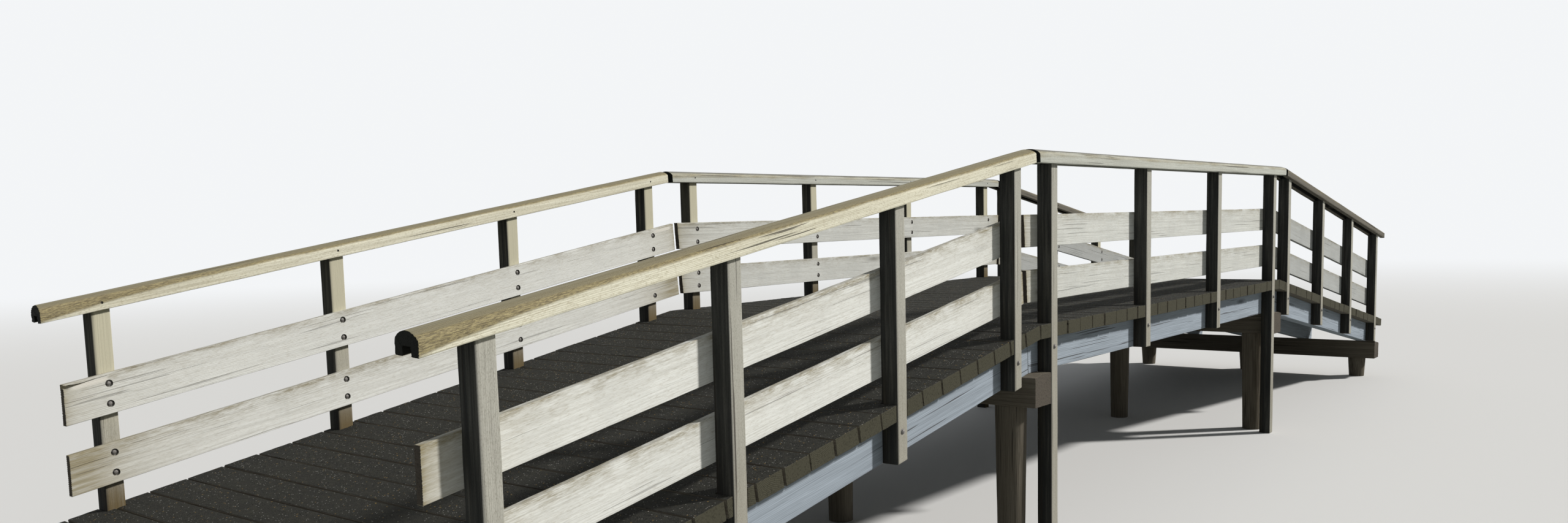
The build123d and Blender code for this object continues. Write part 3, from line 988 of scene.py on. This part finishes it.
def make_supports():
    """Cap beams whose tops follow the beams over them, on rows of round tapered piles."""
    seed = 5200
    bend_cap = middle.post_x(0) - (POST_W + CAP_W) / 2
    end_cap = near.x + (CAP_MARGIN + CAP_W / 2) * near.c
    ridge = BEND_X + BEAM_BOTTOM * MITRE
    half = HALF_CLEAR + POST_D
    rows = {"near_end": end_cap, "near_bend": bend_cap, "far_bend": -bend_cap, "far_end": -end_cap}
    for name, x in rows.items():
        seed += 23
        base = beam_underside(x) - CAP_D
        tops = [x - CAP_W / 2, x + CAP_W / 2]
        tops += [place for place in (-ridge, ridge) if tops[0] < place < tops[1]]
        corners = [(-CAP_W / 2, base), (CAP_W / 2, base)]
        corners += [(place - x, beam_underside(place)) for place in sorted(tops, reverse=True)]
        section = Loop(corners, 0.004, 0.020)
        shares = stations(2 * half, 0.060, END_RINGS)
        cap = timber(section, (-half, 0), (half, 0), shares, seed, relief=0.0010, bow=0, teeth=0.004,
                     tooth_pitch=0.014)
        across = (np.array((x, 0.0, 0.0)), np.array(((0, 1, 0), (1, 0, 0), (0, 0, 1))))
        node = f"cap_beam_{name}"
        Piece(f"weathered_{node}").add(cap, across, seed).finish(PILE, "pile_wood", [node])
        piles = Piece(f"weathered_piles_{name}")
        for y in np.linspace(PILE_INSET - HALF_CLEAR, HALF_CLEAR - PILE_INSET, PILES_IN_ROW):
            seed += 1
            pile = timber(Round(PILE_TOE_R, PILE_R, base), (0, 0), (base, 0),
                          stations(base, 0.040, UPRIGHT_RINGS), seed, relief=0.0014, bow=0)
            piles.add(pile, (np.array((x, y, 0.0)), PLUMB), seed)
        piles.finish(PILE, "pile_wood", [f"piles_{name}"])


# ---- floor, light and camera ----

BACKDROP = (0.90, 0.915, 0.93, 1)
FILL, FILL_STRENGTH = (0.93, 0.97, 1.0, 1), 0.22  # light from all round
SUN, SUN_STRENGTH, SUN_WIDTH = (1.0, 0.975, 0.94), 3.7, math.radians(4)
SUN_AZIMUTH, SUN_ELEVATION = math.radians(-45), math.radians(33)
FLOOR_HALF = 300.0
FLOOR_SEEN, FLOOR_LIT = (0.80, 0.80, 0.79), (0.34, 0.35, 0.33)  # as shown, and as it throws light
FADE_FROM, FADE_TO = 12.0, 45.0  # where the floor turns into the backdrop
PHOTO_W, PHOTO_H = 2559, 853
FOCAL_PX, PRINCIPAL_ROW, SENSOR = 1905.18, 550.0, 36.0
YAW, PITCH, ROLL = 0.67002, -0.10029, -0.02421
EYE = (-6.56652, -4.75817, 0.68168)  # from the deck's top at the near bend


def direction(azimuth, elevation):
    return Vector((math.cos(azimuth) * math.cos(elevation), math.sin(azimuth) * math.cos(elevation),
                   math.sin(elevation)))


def make_stage():
    mesh = bpy.data.meshes.new("floor")
    r = FLOOR_HALF
    mesh.from_pydata([(-r, -r, 0), (r, -r, 0), (r, r, 0), (-r, r, 0)], [], [(0, 1, 2, 3)])
    floor = put("floor", mesh)
    sh = Shader("floor_pale")
    seen = sh.seen()
    sh.set("Base Color", sh.mix(seen, FLOOR_LIT, FLOOR_SEEN))
    distance = sh.vector("LENGTH", sh.node("NewGeometry"), output=1)
    away = sh.times(sh.between(distance, FADE_FROM, FADE_TO), seen)
    glow = sh.node("Emission", {0: BACKDROP})
    sh.tree.links.new(sh.node("MixShader", {0: away, 1: sh.bsdf.outputs[0], 2: glow}), sh.out.inputs[0])
    mesh.materials.append(sh.material)

    world = bpy.data.worlds.new("studio")
    bpy.context.scene.world = world
    world.use_nodes = True
    sky = Nodes(world.node_tree)
    fill = sky.node("Background", {0: FILL, 1: FILL_STRENGTH})
    backdrop = sky.node("Background", {0: BACKDROP, 1: 1.0})
    out = sky.tree.nodes.new("ShaderNodeOutputWorld")
    sky.tree.links.new(sky.node("MixShader", {0: sky.seen(), 1: fill, 2: backdrop}), out.inputs[0])

    sun = bpy.data.lights.new("key", "SUN")
    sun.energy, sun.angle, sun.color = SUN_STRENGTH, SUN_WIDTH, SUN
    lamp = put("key", sun)
    lamp.rotation_mode = "QUATERNION"
    lamp.rotation_quaternion = direction(SUN_AZIMUTH, SUN_ELEVATION).to_track_quat("Z", "Y")


def make_camera():
    """The photograph's viewpoint: to the right of the near end, looking along and across the bridge."""
    ahead = direction(YAW, PITCH)
    right = Vector((math.sin(YAW), -math.cos(YAW), 0))
    up = right.cross(ahead)
    across = right * math.cos(ROLL) + up * math.sin(ROLL)
    over = up * math.cos(ROLL) - right * math.sin(ROLL)
    data = bpy.data.cameras.new("camera")
    data.sensor_width = SENSOR
    data.lens = SENSOR * FOCAL_PX / PHOTO_W
    data.shift_y = (PRINCIPAL_ROW - PHOTO_H / 2) / PHOTO_W
    camera = put("camera", data)
    turn = Matrix((across, over, -ahead)).transposed().to_4x4()
    camera.matrix_world = Matrix.Translation((EYE[0] - BEND_X, EYE[1], EYE[2] + DECK_Z)) @ turn
    bpy.context.scene.camera = camera


for make in (make_boards, make_rails, make_posts, make_deck, make_beams, make_supports, make_stage,
             make_camera):
    make()
bpy.context.scene.view_settings.view_transform = "Standard"
